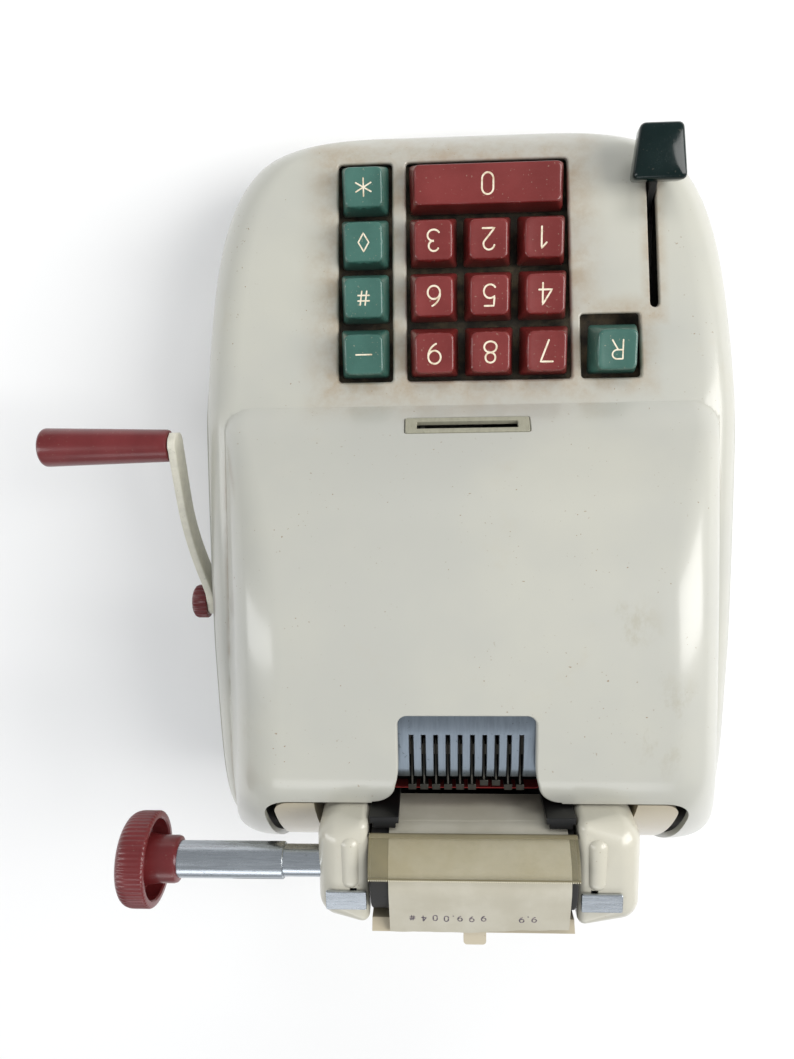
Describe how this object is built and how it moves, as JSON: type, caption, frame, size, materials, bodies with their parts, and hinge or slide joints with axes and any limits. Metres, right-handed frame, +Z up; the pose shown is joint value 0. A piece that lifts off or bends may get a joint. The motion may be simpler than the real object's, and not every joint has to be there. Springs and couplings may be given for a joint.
{
  "type": "adding machine",
  "caption": "Desktop printing adding machine: ten-key keyboard, rounded enamel case, side crank, paper carriage with knob, function lever.",
  "frame": {"origin": "middle of the underside of the whole machine with its crank at rest, on the table", "axes": "+X across the machine to the crank side, +Y from the keyboard to the paper, +Z up"},
  "size_m": [0.2712, 0.2779, 0.1412],
  "materials": {
    "case_enamel": "semi-gloss warm grey enamel with fine specks",
    "panel_enamel": "satin cream enamel",
    "base_paint": "satin grey paint",
    "rubber": "matte black rubber",
    "steel": "brushed steel",
    "bed_paint": "dark brown paint, dusty",
    "indicator_plate": "grey beige enamel",
    "indicator_strip": "dark strip with light and red marks",
    "chrome": "polished, lightly scratched",
    "ribbon_cloth": "red and black inked ribbon",
    "spool_plastic": "off-white",
    "black_paint": "satin black paint",
    "paper": "aged paper",
    "clear_guard": "clear sheet, slightly yellowed",
    "red_plastic": "dark red, worn gloss",
    "green_plastic": "blue green, worn gloss",
    "brass": "dull brass",
    "arm_metal": "cream enamel on flat steel",
    "lever_plastic": "very dark green gloss"
  },
  "bodies": {
    "chassis": {"base_plate": "base_paint", "rubber_feet": "rubber", "base_screws": "steel", "lower_case": "case_enamel", "top_case": "case_enamel", "rear_panel": "panel_enamel", "side_frame_right": "steel", "side_frame_left": "steel", "tie_rods": "steel", "key_bed": "bed_paint", "stem_guide": "steel", "indicator_frame": "indicator_plate", "indicator_scale": "indicator_strip", "type_comb": "chrome", "ribbon_deck": "steel", "ink_ribbon": "ribbon_cloth", "carriage_frame": "black_paint", "end_cover_right": "case_enamel", "end_cover_left": "case_enamel", "paper_guide": "panel_enamel", "paper_strip": "paper", "paper_finger_right": "black_paint", "paper_finger_left": "black_paint", "crank_bush": "brass", "lever_pivot": "steel"},
    "platen": {"platen": "rubber", "platen_shaft": "chrome", "platen_sleeve": "chrome", "platen_knob": "red_plastic"},
    "crank": {"crank_shaft": "steel", "crank_arm": "arm_metal", "crank_hub": "red_plastic", "grip_pin": "steel"},
    "grip": {"crank_grip": "red_plastic"},
    "lever": {"lever_arm": "black_paint", "lever_knob": "lever_plastic"},
    "pin_carriage": {"pin_carriage": "steel"},
    "number_wheels": {"number_wheels": "spool_plastic", "wheel_shaft": "steel"},
    "type_bars": {"type_bars": "steel"},
    "spool_right": {"ribbon_spool_right": "spool_plastic"},
    "spool_left": {"ribbon_spool_left": "spool_plastic"},
    "tab_right": {"release_tab_right": "chrome"},
    "tab_left": {"release_tab_left": "chrome"},
    "guard": {"tear_guard": "clear_guard"},
    "key_0": {"key_0": "red_plastic"},
    "key_1": {"key_1": "red_plastic"},
    "key_2": {"key_2": "red_plastic"},
    "key_3": {"key_3": "red_plastic"},
    "key_4": {"key_4": "red_plastic"},
    "key_5": {"key_5": "red_plastic"},
    "key_6": {"key_6": "red_plastic"},
    "key_7": {"key_7": "red_plastic"},
    "key_8": {"key_8": "red_plastic"},
    "key_9": {"key_9": "red_plastic"},
    "key_star": {"key_star": "green_plastic"},
    "key_diamond": {"key_diamond": "green_plastic"},
    "key_hash": {"key_hash": "green_plastic"},
    "key_minus": {"key_minus": "green_plastic"},
    "key_repeat": {"key_repeat": "green_plastic"}
  },
  "joints": [
    {"name": "crank_pull", "type": "hinge", "parent": "chassis", "child": "crank", "pos_m": [0.07857, 0.0395, 0.05], "axis": [1, 0, 0], "range_deg": [0, 40], "stiffness_Nm_per_rad": 0.8, "springref_deg": -20.05},
    {"name": "grip_spin", "type": "hinge", "parent": "crank", "child": "grip", "pos_m": [0.1034, -0.02697, 0.06694], "axis": [1, 0, 0], "continuous": true},
    {"name": "platen_turn", "type": "hinge", "parent": "chassis", "child": "platen", "pos_m": [-0.0266, 0.1075, 0.125], "axis": [1, 0, 0], "continuous": true},
    {"name": "lever_set", "type": "hinge", "parent": "chassis", "child": "lever", "pos_m": [-0.0931, -0.0835, 0.019], "axis": [-1, 0, 0], "range_deg": [0, 52]},
    {"name": "pin_carriage_slide", "type": "slide", "parent": "chassis", "child": "pin_carriage", "axis": [-1, 0, 0], "range_m": [0, 0.031]},
    {"name": "type_bars_rise", "type": "slide", "parent": "chassis", "child": "type_bars", "axis": [0, 0, 1], "range_m": [0, 0.004]},
    {"name": "wheels_turn", "type": "hinge", "parent": "chassis", "child": "number_wheels", "pos_m": [-0.0266, 0.02, 0.052], "axis": [1, 0, 0], "range_deg": [0, 36]},
    {"name": "spool_left_turn", "type": "hinge", "parent": "chassis", "child": "spool_left", "pos_m": [-0.0699, 0.066, 0.112], "axis": [0, 0, 1], "continuous": true},
    {"name": "spool_right_turn", "type": "hinge", "parent": "chassis", "child": "spool_right", "pos_m": [0.0221, 0.066, 0.112], "axis": [0, 0, 1], "continuous": true},
    {"name": "release_right", "type": "hinge", "parent": "chassis", "child": "tab_right", "pos_m": [0.0134, 0.106, 0.1302], "axis": [1, 0, 0], "range_deg": [0, 12]},
    {"name": "release_left", "type": "hinge", "parent": "chassis", "child": "tab_left", "pos_m": [-0.0646, 0.106, 0.1302], "axis": [1, 0, 0], "range_deg": [0, 12]},
    {"name": "guard_lift", "type": "hinge", "parent": "chassis", "child": "guard", "pos_m": [-0.0266, 0.09307, 0.13236], "axis": [1, 0, 0], "range_deg": [0, 40]},
    {"name": "key_0_press", "type": "slide", "parent": "chassis", "child": "key_0", "axis": [0, 0, -1], "range_m": [0, 0.004], "stiffness_N_per_m": 60, "springref_m": -0.006},
    {"name": "key_1_press", "type": "slide", "parent": "chassis", "child": "key_1", "axis": [0, 0, -1], "range_m": [0, 0.004], "stiffness_N_per_m": 60, "springref_m": -0.006},
    {"name": "key_2_press", "type": "slide", "parent": "chassis", "child": "key_2", "axis": [0, 0, -1], "range_m": [0, 0.004], "stiffness_N_per_m": 60, "springref_m": -0.006},
    {"name": "key_3_press", "type": "slide", "parent": "chassis", "child": "key_3", "axis": [0, 0, -1], "range_m": [0, 0.004], "stiffness_N_per_m": 60, "springref_m": -0.006},
    {"name": "key_4_press", "type": "slide", "parent": "chassis", "child": "key_4", "axis": [0, 0, -1], "range_m": [0, 0.004], "stiffness_N_per_m": 60, "springref_m": -0.006},
    {"name": "key_5_press", "type": "slide", "parent": "chassis", "child": "key_5", "axis": [0, 0, -1], "range_m": [0, 0.004], "stiffness_N_per_m": 60, "springref_m": -0.006},
    {"name": "key_6_press", "type": "slide", "parent": "chassis", "child": "key_6", "axis": [0, 0, -1], "range_m": [0, 0.004], "stiffness_N_per_m": 60, "springref_m": -0.006},
    {"name": "key_7_press", "type": "slide", "parent": "chassis", "child": "key_7", "axis": [0, 0, -1], "range_m": [0, 0.004], "stiffness_N_per_m": 60, "springref_m": -0.006},
    {"name": "key_8_press", "type": "slide", "parent": "chassis", "child": "key_8", "axis": [0, 0, -1], "range_m": [0, 0.004], "stiffness_N_per_m": 60, "springref_m": -0.006},
    {"name": "key_9_press", "type": "slide", "parent": "chassis", "child": "key_9", "axis": [0, 0, -1], "range_m": [0, 0.004], "stiffness_N_per_m": 60, "springref_m": -0.006},
    {"name": "key_star_press", "type": "slide", "parent": "chassis", "child": "key_star", "axis": [0, 0, -1], "range_m": [0, 0.004], "stiffness_N_per_m": 60, "springref_m": -0.006},
    {"name": "key_diamond_press", "type": "slide", "parent": "chassis", "child": "key_diamond", "axis": [0, 0, -1], "range_m": [0, 0.004], "stiffness_N_per_m": 60, "springref_m": -0.006},
    {"name": "key_hash_press", "type": "slide", "parent": "chassis", "child": "key_hash", "axis": [0, 0, -1], "range_m": [0, 0.004], "stiffness_N_per_m": 60, "springref_m": -0.006},
    {"name": "key_minus_press", "type": "slide", "parent": "chassis", "child": "key_minus", "axis": [0, 0, -1], "range_m": [0, 0.004], "stiffness_N_per_m": 60, "springref_m": -0.006},
    {"name": "key_repeat_press", "type": "slide", "parent": "chassis", "child": "key_repeat", "axis": [0, 0, -1], "range_m": [0, 0.004], "stiffness_N_per_m": 60, "springref_m": -0.006}
  ],
  "couplings": [
    {"joint": "type_bars_rise", "follows": "crank_pull", "m_per_rad": 0.0057296},
    {"joint": "wheels_turn", "follows": "crank_pull", "ratio": 0.9},
    {"joint": "spool_right_turn", "follows": "spool_left_turn", "ratio": 1}
  ]
}
